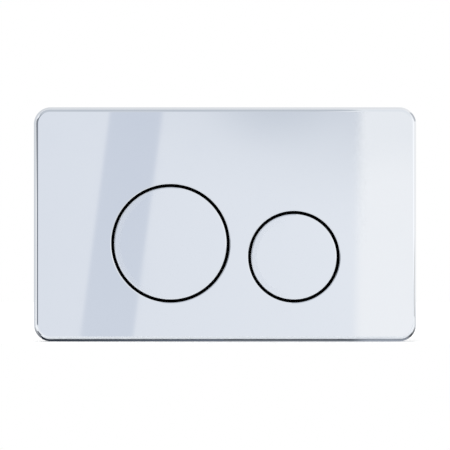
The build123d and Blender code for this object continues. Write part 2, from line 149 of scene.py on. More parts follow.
class Graph:
    """The node tree of one material or of the world, emptied and built up in code."""

    def __init__(self, owner: Any) -> None:
        """Turn nodes on for a material or world and clear its tree.

        Args:
            owner: The material or world.
        """
        owner.use_nodes = True
        self.tree = owner.node_tree
        self.tree.nodes.clear()

    def add(
        self,
        kind: str,
        settings: dict[str, Any] | None = None,
        inputs: dict[str | int, Any] | None = None,
        output: str | int = 0,
    ) -> Socket:
        """Add one node.

        Args:
            kind: Blender's type name of the node.
            settings: Properties of the node, set first.
            inputs: Numbers, colours or sockets for the node's inputs, by name or number.
            output: Name or number of the output that is wanted.

        Returns:
            The wanted output of the new node, empty for a node that has no outputs.
        """
        node = self.tree.nodes.new(kind)
        for name, value in (settings or {}).items():
            setattr(node, name, value)
        for name, value in (inputs or {}).items():
            if isinstance(value, Socket):
                self.tree.links.new(value.link, node.inputs[name])
            else:
                node.inputs[name].default_value = value
        return Socket(self, node.outputs[output] if node.outputs else None)

    def maths(self, operation: str, first: Any, second: Any) -> Socket:
        """Add a Math node on two values."""
        return self.add("ShaderNodeMath", {"operation": operation}, {0: first, 1: second})

    def vectors(self, operation: str, first: Any, second: Any, output: str = "Vector") -> Socket:
        """Add a Vector Math node on two vectors."""
        return self.add("ShaderNodeVectorMath", {"operation": operation}, {0: first, 1: second}, output)

    def length(self, vector: Socket) -> Socket:
        """Length of a vector."""
        return self.add("ShaderNodeVectorMath", {"operation": "LENGTH"}, {0: vector}, "Value")

    def along(self, vector: Socket, axis: str) -> Socket:
        """Component of a vector along X, Y or Z."""
        return self.add("ShaderNodeSeparateXYZ", None, {0: vector}, axis)

    def place(self) -> Socket:
        """Object coordinates, which are metres in the plate's own frame."""
        return self.add("ShaderNodeTexCoord", output="Object")

    def ray(self, kind: str) -> Socket:
        """1 for the rays of one kind, otherwise 0."""
        return self.add("ShaderNodeLightPath", output=f"Is {kind} Ray")

    def seen(self) -> Socket:
        """1 for the rays that show a thing to the camera, in a mirror or through glass, otherwise 0."""
        return self.ray("Camera") | self.ray("Glossy") | self.ray("Transmission")

    def blend(self, factor: Socket, first: Colour, second: Colour) -> Socket:
        """Mix node from a first colour to a second."""
        inputs = {0: factor, 6: (*first, 1.0), 7: (*second, 1.0)}
        return self.add("ShaderNodeMix", {"data_type": "RGBA"}, inputs, 2)

    def bump(self, height: Socket, strength: float, distance: float) -> Socket:
        """Normal bent by a height map of the given depth in metres."""
        inputs = {"Height": height, "Strength": strength, "Distance": distance}
        return self.add("ShaderNodeBump", None, inputs, "Normal")

    def principled(self, inputs: dict[str | int, Any]) -> Socket:
        """Principled shader with the given inputs."""
        return self.add("ShaderNodeBsdfPrincipled", None, inputs)

    def cover(self, share: Socket, below: Socket, above: Socket) -> Socket:
        """Shader that is covered by another one to a share."""
        return self.add("ShaderNodeMixShader", None, {0: share, 1: below, 2: above})


@dataclass(frozen=True)
class Grain:
    """Noise in a finish: features to a metre, octaves of finer noise, and scales along X, Y and Z."""

    scale: float
    detail: float
    stretch: Vector | None = None

    def value(self, graph: Graph) -> Socket:
        """Noise on Object coordinates.

        Args:
            graph: Node tree to add the nodes to.

        Returns:
            The noise, from 0 to 1.
        """
        where = graph.place()
        if self.stretch:
            where = graph.add("ShaderNodeMapping", None, {"Vector": where, "Scale": self.stretch})
        inputs = {"Vector": where, "Scale": self.scale, "Detail": self.detail}
        return graph.add("ShaderNodeTexNoise", None, inputs, "Fac")


# Finishes


class Finish:
    """Looks of a surface: named values, and a shader that is made from them."""

    def shader(self, graph: Graph) -> Socket:
        """Add the nodes of the finish to a graph and give back its shader. Each finish has its own."""
        raise NotImplementedError

    def material(self, name: str) -> bpy.types.Material:
        """Make a material with this finish.

        Args:
            name: Name of the new material.

        Returns:
            The new material.
        """
        made = bpy.data.materials.new(name)
        graph = Graph(made)
        graph.add("ShaderNodeOutputMaterial", None, {"Surface": self.shader(graph)})
        return made


@dataclass(frozen=True)
class LeftRimShade:
    """Painted shade: a faint matt grey along the left rim of a round cap, standing in for the dark that the
    rim mirrors from the left. It is given by the cap's centre and radius.
    """

    x: float
    z: float
    radius: float
    width: float = 3.7
    soft: float = 0.6

    def mask(self, graph: Graph) -> Socket:
        """Mask of the painted shade: a ring inside the rim that fades out towards the right.

        Args:
            graph: Node tree to add the nodes to.

        Returns:
            1 at the far left of the rim, 0 away from the painted shade.
        """
        offset = graph.vectors("SUBTRACT", graph.place(), (self.x * MM, 0.0, self.z * MM))
        reach = graph.length(graph.vectors("MULTIPLY", offset, (1.0, 0.0, 1.0)))
        start = (self.radius - self.width - self.soft) * MM
        end = (self.radius - self.width + self.soft) * MM
        inside = reach.smooth((self.radius + self.soft) * MM, self.radius * MM)
        to_left = graph.along(offset, "X").smooth(0.0, -self.radius * MM)
        return reach.smooth(start, end) * inside * to_left


@dataclass(frozen=True)
class ChromePlating(Finish):
    """Bright plating on moulded plastic: a mirror with a trace of waviness and handling haze."""

    rim_shades: tuple[LeftRimShade, ...]
    clean: Colour = (0.828, 0.860, 0.903)
    hazy: Colour = (0.818, 0.851, 0.897)
    roughness: float = 0.016
    haze: float = 0.010
    smears: Grain = Grain(38.0, 5.0)
    smear_fade: Pair = (0.45, 0.8)
    waves: Grain = Grain(16.0, 1.0)
    wave_strength: float = 0.4
    wave_depth: float = 1.5e-6
    # Painted shade on the caps' left rims: its colour, share, roughness and specular.
    rim_shade: Colour = (0.685, 0.73, 0.81)
    rim_shade_share: float = 0.45
    rim_shade_roughness: float = 0.7
    rim_shade_specular: float = 0.1

    def shader(self, graph: Graph) -> Socket:
        """A mirror, with painted shade on the given rims as a share of matt grey.

        Args:
            graph: Node tree to add the nodes to.

        Returns:
            The shader.
        """
        smears = self.smears.value(graph).smooth(*self.smear_fade)
        shader = graph.principled(
            {
                "Base Color": graph.blend(smears, self.clean, self.hazy),
                "Metallic": 1.0,
                "Roughness": self.roughness + smears * self.haze,
                "Normal": graph.bump(self.waves.value(graph), self.wave_strength, self.wave_depth),
            }
        )
        matt = {
            "Base Color": (*self.rim_shade, 1.0),
            "Roughness": self.rim_shade_roughness,
            "Specular IOR Level": self.rim_shade_specular,
        }
        for rim_shade in self.rim_shades:
            shader = graph.cover(rim_shade.mask(graph) * self.rim_shade_share, shader, graph.principled(matt))
        return shader


@dataclass(frozen=True)
class MouldedPlastic(Finish):
    """Matt moulding with a fine spark-eroded grain and faint flow clouds."""

    dark: Colour
    light: Colour
    roughness: float = 0.55
    specular: float = 0.35
    clouds: Grain = Grain(55.0, 3.0)
    cloud_fade: Pair = (0.3, 0.7)
    cloud_sheen: float = 0.2
    grain: Grain = Grain(1600.0, 2.0)
    grain_sheen: float = 0.15
    grain_strength: float = 0.35
    grain_depth: float = 2.5e-5
    # Painted shade: a near-black for the fronts of the collars in the gaps round the caps, faded in along
    # Y.
    front: Colour | None = None
    gap_shade_fade: Pair = (-8.0, -10.0)

    def shader(self, graph: Graph) -> Socket:
        """The moulding. Where it has a front colour, that colour takes over, fully matt with no specular,
        between two places along Y: painted shade on the fronts of the black collars in the gaps round the
        caps.

        Args:
            graph: Node tree to add the nodes to.

        Returns:
            The shader.
        """
        clouds = self.clouds.value(graph)
        grain = self.grain.value(graph)
        sheen = (clouds - MIDDLE) * self.cloud_sheen
        shader = graph.principled(
            {
                "Base Color": graph.blend(clouds.smooth(*self.cloud_fade), self.dark, self.light),
                "Roughness": self.roughness + sheen + (grain - MIDDLE) * self.grain_sheen,
                "Specular IOR Level": self.specular,
                "Normal": graph.bump(grain, self.grain_strength, self.grain_depth),
            }
        )
        if self.front:
            gap_shade = {"Base Color": (*self.front, 1.0), "Roughness": 1.0, "Specular IOR Level": 0.0}
            start, end = self.gap_shade_fade
            share = graph.along(graph.place(), "Y").smooth(start * MM, end * MM)
            shader = graph.cover(share, shader, graph.principled(gap_shade))
        return shader


@dataclass(frozen=True)
class SmoothPlastic(Finish):
    """Smooth acetal moulding with a soft gloss and faint flow lines along the rod."""

    shade: Colour = (0.80, 0.80, 0.775)
    light: Colour = (0.87, 0.87, 0.85)
    roughness: float = 0.28
    flow: Grain = Grain(420.0, 3.0, (1.0, 0.12, 1.0))
    flow_fade: Pair = (0.25, 0.75)
    flow_sheen: float = 0.12
    flow_strength: float = 0.15
    flow_depth: float = 1e-5

    def shader(self, graph: Graph) -> Socket:
        """The moulding, a little duller along its flow lines.

        Args:
            graph: Node tree to add the nodes to.

        Returns:
            The shader.
        """
        flow = self.flow.value(graph)
        return graph.principled(
            {
                "Base Color": graph.blend(flow.smooth(*self.flow_fade), self.shade, self.light),
                "Roughness": self.roughness + flow * self.flow_sheen,
                "Normal": graph.bump(flow, self.flow_strength, self.flow_depth),
            }
        )


@dataclass(frozen=True)
class BrightSteel(Finish):
    """Bright drawn or rolled steel with fine lines and small stains."""

    dark: Colour = (0.46, 0.455, 0.45)
    light: Colour = (0.66, 0.655, 0.65)
    roughness: float = 0.22
    lines: Grain = Grain(2600.0, 2.0, (0.15, 1.0, 1.0))
    line_sheen: float = 0.14
    line_strength: float = 0.2
    line_depth: float = 8e-6
    stains: Grain = Grain(240.0, 4.0)
    stain_fade: Pair = (0.3, 0.7)
    stain_sheen: float = 0.08

    def shader(self, graph: Graph) -> Socket:
        """The steel, with its colour from the stains and its relief from the lines.

        Args:
            graph: Node tree to add the nodes to.

        Returns:
            The shader.
        """
        lines = self.lines.value(graph)
        stains = self.stains.value(graph)
        return graph.principled(
            {
                "Base Color": graph.blend(stains.smooth(*self.stain_fade), self.dark, self.light),
                "Metallic": 1.0,
                "Roughness": self.roughness + lines * self.line_sheen + stains * self.stain_sheen,
                "Normal": graph.bump(lines, self.line_strength, self.line_depth),
            }
        )


@dataclass(frozen=True)
class WhiteFloor(Finish):
    """White studio floor that keeps shadows, topped up to white for the camera and a little for mirrors."""

    colour: Colour = (0.95, 0.95, 0.95)
    top_up: float = 0.2
    mirror_top_up: float = 0.10

    def shader(self, graph: Graph) -> Socket:
        """Matt white with a glow that shows only to the camera, in mirrors and through glass.

        Args:
            graph: Node tree to add the nodes to.

        Returns:
            The shader.
        """
        paper = graph.add("ShaderNodeBsdfDiffuse", None, {"Color": (*self.colour, 1.0)})
        direct = graph.ray("Camera")
        strength = direct * self.top_up + (graph.seen() - direct) * self.mirror_top_up
        glow = graph.add("ShaderNodeEmission", None, {"Strength": strength})
        return graph.add("ShaderNodeAddShader", None, {0: paper, 1: glow})


@dataclass(frozen=True)
class CardPaper(Finish):
    """Lit paper of a studio card with soft edges, in one tone or from a tone at its start to another."""

    start: Colour
    end: Colour | None = None
    way: Way = Way.ACROSS
    soft_u: float = 0.01
    soft_v: float = 0.01
    round_edge: bool = False

    def shader(self, graph: Graph) -> Socket:
        """The paper, which fades out at its edges by a mask on the card's UV map.

        Args:
            graph: Node tree to add the nodes to.

        Returns:
            The shader.
        """
        where = graph.add("ShaderNodeTexCoord", output="UV")
        across = graph.along(where, "X")
        up = graph.along(where, "Y")
        share = across if self.way is Way.ACROSS else up
        tone = graph.blend(share, self.start, self.end) if self.end else (*self.start, 1.0)
        light = graph.add("ShaderNodeEmission", None, {"Color": tone})
        clear = graph.add("ShaderNodeBsdfTransparent")
        if self.round_edge:
            mask = graph.length(graph.vectors("ADD", where, (-MIDDLE, -MIDDLE, 0.0))).smooth(MIDDLE, 0.0)
        else:
            mask = across.smooth(0.0, self.soft_u) * across.smooth(1.0, 1.0 - self.soft_u)
            mask = mask * up.smooth(0.0, self.soft_v) * up.smooth(1.0, 1.0 - self.soft_v)
        return graph.cover(mask, clear, light)


# Mesh tools


@dataclass
class Skin:
    """Rows of points, joined into quads that wrap round. A row that is one point closes an end."""

    rows: np.ndarray

    def quads(self) -> np.ndarray:
        """Corner numbers of the quads between neighbouring rows and columns.

        Returns:
            One row of four numbers for each quad.
        """
        index = np.arange(self.rows.shape[0] * self.rows.shape[1]).reshape(self.rows.shape[:2])
        index = np.concatenate([index, index[:, :1]], axis=1)
        corners = (index[:-1, :-1], index[:-1, 1:], index[1:, 1:], index[1:, :-1])
        return np.stack(corners, axis=-1).reshape(-1, 4)


def add_object(name: str, data: Any) -> bpy.types.Object:
    """Put a mesh or a camera into the scene, at the origin.

    Args:
        name: Name of the new object.
        data: Its mesh or camera.

    Returns:
        The new object.
    """
    made = bpy.data.objects.new(name, data)
    bpy.context.scene.collection.objects.link(made)
    return made


def make_piece(name: str, skins: list[Skin], sharp: float = 32.0) -> bpy.types.Object:
    """Weld skins into one smooth-shaded mesh with sharp edges kept.

    Args:
        name: Name of the new object.
        skins: Surfaces of the piece.
        sharp: Angle in degrees above which an edge stays sharp.

    Returns:
        The new object, at the origin.
    """
    starts = np.cumsum([0] + [skin.rows.shape[0] * skin.rows.shape[1] for skin in skins[:-1]])
    points = np.concatenate([skin.rows.reshape(-1, 3) for skin in skins]) * MM
    quads = np.concatenate([skin.quads() + start for skin, start in zip(skins, starts)])
    mesh = bpy.data.meshes.new(name)
    mesh.vertices.add(len(points))
    mesh.vertices.foreach_set("co", points.ravel())
    mesh.loops.add(quads.size)
    mesh.loops.foreach_set("vertex_index", quads.ravel())
    mesh.polygons.add(len(quads))
    mesh.polygons.foreach_set("loop_start", np.arange(0, quads.size, quads.shape[1]))
    mesh.update(calc_edges=True)
    work = bmesh.new()
    work.from_mesh(mesh)
    bmesh.ops.remove_doubles(work, verts=work.verts, dist=WELD)
    bmesh.ops.recalc_face_normals(work, faces=work.faces)
    work.to_mesh(mesh)
    work.free()
    mesh.polygons.foreach_set("use_smooth", np.ones(len(mesh.polygons), dtype=bool))
    mesh.set_sharp_from_angle(angle=math.radians(sharp))
    return add_object(name, mesh)


def dress(piece: bpy.types.Object, finish: bpy.types.Material, body: Body, slot: Slot, *nodes: str) -> None:
    """Give a new piece its finish, its body and the CAD nodes that it stands for.

    Args:
        piece: The new piece.
        finish: Its material.
        body: Rigid body that it moves with.
        slot: Material slot of the record that its finish belongs to; not used.
        nodes: Names of the CAD nodes that it stands for.
    """
    piece.data.materials.append(finish)
    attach(piece, body.value)
    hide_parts(*nodes)
    log.info("%s: %d faces, stands for %s", piece.name, len(piece.data.polygons), ", ".join(nodes))


def around(count: int) -> np.ndarray:
    """Angles of a full turn in equal steps, in radians."""
    return np.arange(count) * 2 * math.pi / count


def ring(radius: np.ndarray, height: np.ndarray, angle: np.ndarray, centre: Place) -> np.ndarray:
    """Rows of circles about an axis along Y.

    A point is centre + radius (cos angle, sin angle) in X and Z, with y = -height.

    Args:
        radius: Radius of each row, or of each point of each row.
        height: Distance of each row in front of the wall.
        angle: Angle of each column, in radians.
        centre: X and Z of the axis.

    Returns:
        Points as rows by columns by 3.
    """
    radius = radius if radius.ndim > 1 else radius[:, None]
    x = centre[0] + radius * np.cos(angle)
    z = centre[1] + radius * np.sin(angle)
    return np.stack([x, np.broadcast_to(-height[:, None], x.shape), z], axis=-1)


def turned(profile: list[Place], centre: Place, sides: int) -> Skin:
    """Profile of (radius, height) points carried round an axis along Y."""
    radius, height = np.array(profile, float).T
    return Skin(ring(radius, height, around(sides), centre))


def screw_boss(
    centre: Place, radius: float, pilot: float, top: float, floor: float, end: float, sides: int = 40
) -> Skin:
    """Round boss with a blind pilot hole, its root sunk into the wall that carries it.

    Args:
        centre: X and Z of its axis.
        radius: Outer radius.
        pilot: Radius of the pilot hole.
        top: Height of the root inside the wall.
        floor: Height of the bottom of the pilot hole.
        end: Height of the free end.
        sides: Number of facets.

    Returns:
        The closed skin.
    """
    profile = [(0, top), (radius, top), (radius, end), (pilot, end), (pilot, floor), (0, floor)]
    return turned(profile, centre, sides)


def block(centre: Place, size: Pair, low: float, high: float, taper: float = 0.0) -> Skin:
    """Rectangular bar along Y with closed ends.

    Its rows are a point, the rectangle at the high end, the rectangle near and at the low end,
    which is narrower by the taper, and a point.

    Args:
        centre: X and Z of the bar.
        size: Widths along X and Z.
        low: Height of its low end.
        high: Height of its high end.
        taper: Chamfer of the low end across Z.

    Returns:
        The closed skin.
    """
    corner_x = np.array([-0.5, 0.5, 0.5, -0.5]) * size[0]
    corner_z = np.array([-0.5, -0.5, 0.5, 0.5])
    depth = np.array([0.0, size[1], size[1], size[1] - 2 * taper, 0.0])[:, None]
    width = np.array([0.0, 1.0, 1.0, 1.0, 0.0])[:, None]
    height = np.array([high, high, low + taper, low, low])[:, None]
    x = centre[0] + width * corner_x
    z = centre[1] + depth * corner_z
    return Skin(np.stack([x, np.broadcast_to(-height, x.shape), z], axis=-1))


def arc(centre: Place, radius: float, start: float, end: float, count: int) -> list[Place]:
    """Points of an arc: centre + radius (cos angle, sin angle).

    Args:
        centre: Its middle, as (across, up).
        radius: Its radius.
        start: First angle in degrees, measured from across.
        end: Last angle in degrees.
        count: Number of points.

    Returns:
        Points as (across, up).
    """
    angle = np.radians(np.linspace(start, end, count))
    points = np.stack([centre[0] + radius * np.cos(angle), centre[1] + radius * np.sin(angle)], axis=1)
    return [tuple(point) for point in points]


# Cover plate


@dataclass
class Opening:
    """A round opening of the cover."""

    x: float
    z: float
    radius: float


@dataclass
class CoverPlate:
    """The chrome cover: a tray with leaning sides, a rounded front edge and two round openings."""

    large: Opening
    small: Opening
    width: float = 245.0
    height: float = 150.0
    face: float = 12.0
    rim: float = 0.4
    corner: float = 10.8
    lean: float = 1.7
    edge: float = 1.8
    wall: float = 2.2
    mouth_edge: float = 0.7
    collar_wall: float = 1.6
    collar_depth: float = 3.0
    rib: float = 1.2
    rib_depth: float = 2.5
    rib_top_inset: float = 30.0
    rib_bottom_inset: float = 18.0
    rib_side_inset: float = 32.5
    boss_radius: float = 3.2
    boss_length: float = 5.5
    pilot: float = 1.5
    blade_size: Pair = (9.0, 1.6)
    blade_end: float = 3.0
    blade_chamfer: float = 0.4
    blade_x: float = 62.0
    blade_z: float = 63.8
    spacing: float = 2.5
    corner_steps: int = 22
    edge_steps: int = 18
    mouth_steps: int = 8

    @property
    def inner(self) -> float:
        """Height of the inner face."""
        return self.face - self.wall

    @property
    def split(self) -> float:
        """Middle of the bridge between the openings, where the flat faces are parted in two."""
        return (self.large.x + self.large.radius + self.small.x - self.small.radius) / 2

    @property
    def slope(self) -> float:
        """Lean of the sides per millimetre of height."""
        return self.lean / (self.face - self.rim)

    def outline(self) -> tuple[np.ndarray, np.ndarray, int]:
        """Path round the plate, from the split line at the top, by the left, the bottom and the right.

        The path is a core rectangle through the corners' centres. A loop at an inset d lies at
        core + (corner radius - d) x outward direction.

        Returns:
            Core points, outward directions, and the number of the point on the split line at the bottom.
        """
        x, z = self.width / 2 - self.corner, self.height / 2 - self.corner
        left_legs = [
            ((self.split, z), (-x, z), 90, 90),
            ((-x, z), (-x, z), 90, 180),
            ((-x, z), (-x, -z), 180, 180),
            ((-x, -z), (-x, -z), 180, 270),
            ((-x, -z), (self.split, -z), 270, 270),
        ]
        right_legs = [
            ((self.split, -z), (x, -z), 270, 270),
            ((x, -z), (x, -z), 270, 360),
            ((x, -z), (x, z), 360, 360),
            ((x, z), (x, z), 360, 450),
            ((x, z), (self.split, z), 450, 450),
        ]
        cores, angles = [], []
        for start, end, first, last in left_legs + right_legs:
            length = math.dist(start, end)
            count = self.corner_steps if first != last else math.ceil(length / self.spacing)
            share = np.arange(count)[:, None] / count
            cores.append(np.array(start) + share * (np.array(end) - np.array(start)))
            angles.append(np.radians(first + share[:, 0] * (last - first)))
        direction = np.concatenate(angles)
        normals = np.stack([np.cos(direction), np.sin(direction)], axis=1)
        return np.concatenate(cores), normals, sum(len(core) for core in cores[: len(left_legs)])

    def loops(self, profile: list[Place]) -> np.ndarray:
        """Loops round the plate.

        Args:
            profile: An (inset, height) point for each loop.

        Returns:
            Points as loops by columns by 3.
        """
        core, normal, _ = self.outline()
        inset, height = np.array(profile, float).T
        flat = core[None] + (self.corner - inset)[:, None, None] * normal[None]
        level = np.broadcast_to(-height[:, None], flat.shape[:2])
        return np.stack([flat[..., 0], level, flat[..., 1]], axis=-1)

    def section(self) -> list[Place]:
        """Profile from the inner face, round the rim, to the front face.

        The edge is an arc that touches the leaning side and the flat face.

        Returns:
            Points as (inset, height).
        """
        lean = math.atan(self.slope)
        arc_height = self.face - self.edge
        touch = arc_height + self.edge * math.sin(lean)
        arc_inset = (touch - self.rim) * self.slope + self.edge * math.cos(lean)
        rounded = arc((arc_inset, arc_height), self.edge, 180 - math.degrees(lean), 90, self.edge_steps)
        inner_inset = self.wall + (self.inner - self.rim) * self.slope
        return [(inner_inset, self.inner), (self.wall, self.rim), (0.0, self.rim), *rounded]

    def half(self, boundary: np.ndarray, left: bool) -> np.ndarray:
        """Closed loop round one half of a flat face: its part of the boundary and the split line.

        Args:
            boundary: Loop round the whole face.
            left: Whether the left half is wanted.

        Returns:
            Points of the closed loop.
        """
        _, _, bottom = self.outline()
        count = math.ceil(self.height / self.spacing)
        share = np.arange(1, count)[:, None] / count
        line = boundary[bottom] + share * (boundary[0] - boundary[bottom])
        if left:
            return np.concatenate([boundary[: bottom + 1], line])
        return np.concatenate([boundary[bottom:], boundary[:1], line[::-1]])

    def web(self, loop: np.ndarray, hole: np.ndarray) -> Skin:
        """Flat skin between a loop and a hole, by straight lines from point to point.

        A narrow strip along both borders keeps the shading of the flat part flat.

        Args:
            loop: Points of the outer border.
            hole: As many points of the inner border.

        Returns:
            The flat skin.
        """
        strip = SUPPORT / np.linalg.norm(hole - loop, axis=1)
        share = np.stack(np.broadcast_arrays(0.0, strip, MIDDLE, 1 - strip, 1.0))
        return Skin(loop[None] + share[..., None] * (hole - loop)[None])

    def shell(self) -> list[Skin]:
        """Sides, rim, front face, inner face and the two openings.

        The points round an opening lie in the directions of the points round its half of the face.

        Returns:
            Skins that close into one.
        """
        sides = self.loops(self.section())
        skins = [Skin(sides)]
        for opening, left in ((self.large, True), (self.small, False)):
            front = self.half(sides[-1], left)
            back = self.half(sides[0], left)
            angle = np.arctan2(front[:, 2] - opening.z, front[:, 0] - opening.x)
            arc_centre = (opening.radius + self.mouth_edge, self.face - self.mouth_edge)
            mouth = arc(arc_centre, self.mouth_edge, 90, 180, self.mouth_steps)
            end = self.inner - self.collar_depth
            outside = opening.radius + self.collar_wall
            profile = [*mouth, (opening.radius, end), (outside, end), (outside, self.inner)]
            radius, height = np.array(profile).T
            bore = ring(radius, height, angle, (opening.x, opening.z))
            skins += [Skin(bore), self.web(front, bore[0]), self.web(back, bore[-1])]
        return skins

    def stiffeners(self, boss_places: list[Place]) -> list[Skin]:
        """Ribs, screw bosses and clip blades on the back of the cover, all sunk a little into its wall.

        Args:
            boss_places: X and Z of the screw bosses.

        Returns:
            One closed skin for each.
        """
        reach = self.lean + self.wall / 2
        low, high = self.inner - self.rib_depth, self.inner + SINK * self.wall
        across, upright = self.width - 2 * reach, self.height - 2 * reach
        rows = (self.height / 2 - self.rib_top_inset, self.rib_bottom_inset - self.height / 2)
        side = self.width / 2 - self.rib_side_inset
        skins = [block((0, z), (across, self.rib), low, high) for z in rows]
        skins += [block((x, 0), (self.rib, upright), low, high) for x in (-side, self.split, side)]
        end = self.inner - self.boss_length
        skins += [
            screw_boss(place, self.boss_radius, self.pilot, high, self.inner, end) for place in boss_places
        ]
        corners = [(i * self.blade_x, k * self.blade_z) for i in (-1, 1) for k in (-1, 1)]
        skins += [
            block(place, self.blade_size, self.blade_end, high, self.blade_chamfer) for place in corners
        ]
        return skins

    def build(self, chrome: bpy.types.Material, boss_places: list[Place]) -> None:
        """Make the cover and dress it."""
        piece = make_piece("chrome_cover", self.shell() + self.stiffeners(boss_places))
        dress(piece, chrome, Body.PLATE, Slot.CHROME, "cover_plate")


# Buttons


@dataclass
class ButtonCap:
    """A chrome cap: flat disc with a rounded rim, a skirt and screw bosses."""

    name: str
    body: Body
    x: float
    z: float
    radius: float
    face: float = 12.0
    thickness: float = 2.2
    skirt_wall: float = 1.6
    skirt: float = 7.5
    edge: float = 0.9
    boss_radius: float = 2.6
    boss_length: float = 2.0
    boss_inset: float = 6.5
    pilot: float = 1.0
    screw_count: int = 3
    screw_start: float = 45.0
    sides: int = 288
    edge_steps: int = 12

    @property
    def inner(self) -> float:
        """Height of the disc's inner face."""
        return self.face - self.thickness

    def section(self) -> list[Place]:
        """Profile of the cap: disc, edge arc that touches disc and skirt, skirt and inside.

        Returns:
            Points as (radius, height).
        """
        flat = self.radius - self.edge
        skirt_end = self.face - self.skirt
        inside = self.radius - self.skirt_wall
        return [
            (0, self.face),
            (flat - SUPPORT, self.face),
            *arc((flat, self.face - self.edge), self.edge, 90, 0, self.edge_steps),
            (self.radius, skirt_end),
            (inside, skirt_end),
            (inside, self.inner),
            (0, self.inner),
        ]

    def screw_places(self) -> list[Place]:
        """Places of the cap screws, evenly spaced round the axis.

        Returns:
            X and Z of each screw.
        """
        reach = self.radius - self.boss_inset
        last = self.screw_start + 360 - 360 / self.screw_count
        return arc((self.x, self.z), reach, self.screw_start, last, self.screw_count)

    def build(self, chrome: bpy.types.Material) -> None:
        """Make the cap, with its bosses sunk a little into the disc, and dress it.

        Args:
            chrome: Material of the cap.
        """
        root = self.inner + SINK * self.thickness
        end = self.inner - self.boss_length
        skins = [turned(self.section(), (self.x, self.z), self.sides)]
        skins += [
            screw_boss(place, self.boss_radius, self.pilot, root, self.inner, end)
            for place in self.screw_places()
        ]
        piece = make_piece(f"{self.name}_chrome_cap", skins)
        dress(piece, chrome, self.body, Slot.CHROME, f"{self.name}_button_cap")


@dataclass
class ReturnSpring:
    """A coil spring of round wire with closed ends, between the cup's floor and the slider."""

    name: str
    x: float
    z: float
    low: float = -6.0
    high: float = 6.3
    radius: float = 6.25
    wire: float = 0.8
    seat: float = 0.03
    dead_turns: float = 1.0
    live_turns: float = 4.0
    dead_pitch: float = 1.02
    ease_turns: float = 0.25
    travel: float = 6.0
    steps: int = 44
    wire_sides: int = 14
    sharp: float = 60.0

    def path(self) -> tuple[np.ndarray, np.ndarray]:
        """Centre line of the wire, a helix of the coil radius.

        Its pitch is about one wire in the closed turns and eases to the open pitch between them.

        Returns:
            Points of the centre line, and the directions from the axis to them.
        """
        turns = 2 * self.dead_turns + self.live_turns
        turn = np.linspace(0, turns, int(turns * self.steps) + 1)
        from_end = np.minimum(turn, turns - turn)
        opened = np.clip((from_end - self.dead_turns + self.ease_turns) / (2 * self.ease_turns), 0, 1)
        opened = opened**2 * (3 - 2 * opened)
        rise = self.high - self.low - self.wire - 2 * self.seat
        grown = np.concatenate([[0], np.cumsum((opened[1:] + opened[:-1]) / 2)])
        closed = self.wire * self.dead_pitch * turn / turns * 2 * self.dead_turns
        height = closed + (rise - closed[-1]) * grown / grown[-1]
        height = height + self.low + self.seat + self.wire / 2
        angle = 2 * math.pi * turn
        radial = np.stack([np.cos(angle), 0 * angle, np.sin(angle)], axis=1)
        centre = np.array([self.x, 0, self.z]) + self.radius * radial
        centre[:, 1] -= height
        return centre, radial

    def build(self, steel: bpy.types.Material) -> None:
        """Make the spring from rings of the wire that stand square to its path, and dress it.

        Args:
            steel: Material of the spring.
        """
        centre, radial = self.path()
        tangent = np.gradient(centre, axis=0)
        tangent /= np.linalg.norm(tangent, axis=1, keepdims=True)
        side = np.cross(tangent, radial)
        angle = around(self.wire_sides)[None, :, None]
        offset = np.cos(angle) * radial[:, None] + np.sin(angle) * side[:, None]
        tube = centre[:, None] + self.wire / 2 * offset
        ends = np.broadcast_to(centre[[0, -1], None], (2, self.wire_sides, 3))
        skin = Skin(np.concatenate([ends[:1], tube, ends[1:]]))
        piece = make_piece(f"{self.name}_coil_spring", [skin], self.sharp)
        dress(piece, steel, Body.PLATE, Slot.STEEL, f"{self.name}_return_spring")
        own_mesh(piece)


# Rods and screws


@dataclass(frozen=True)
class Thread:
    """A threaded stretch of a rod: the heights of its ends, its pitch and its depth."""

    low: float
    high: float
    pitch: float
    depth: float


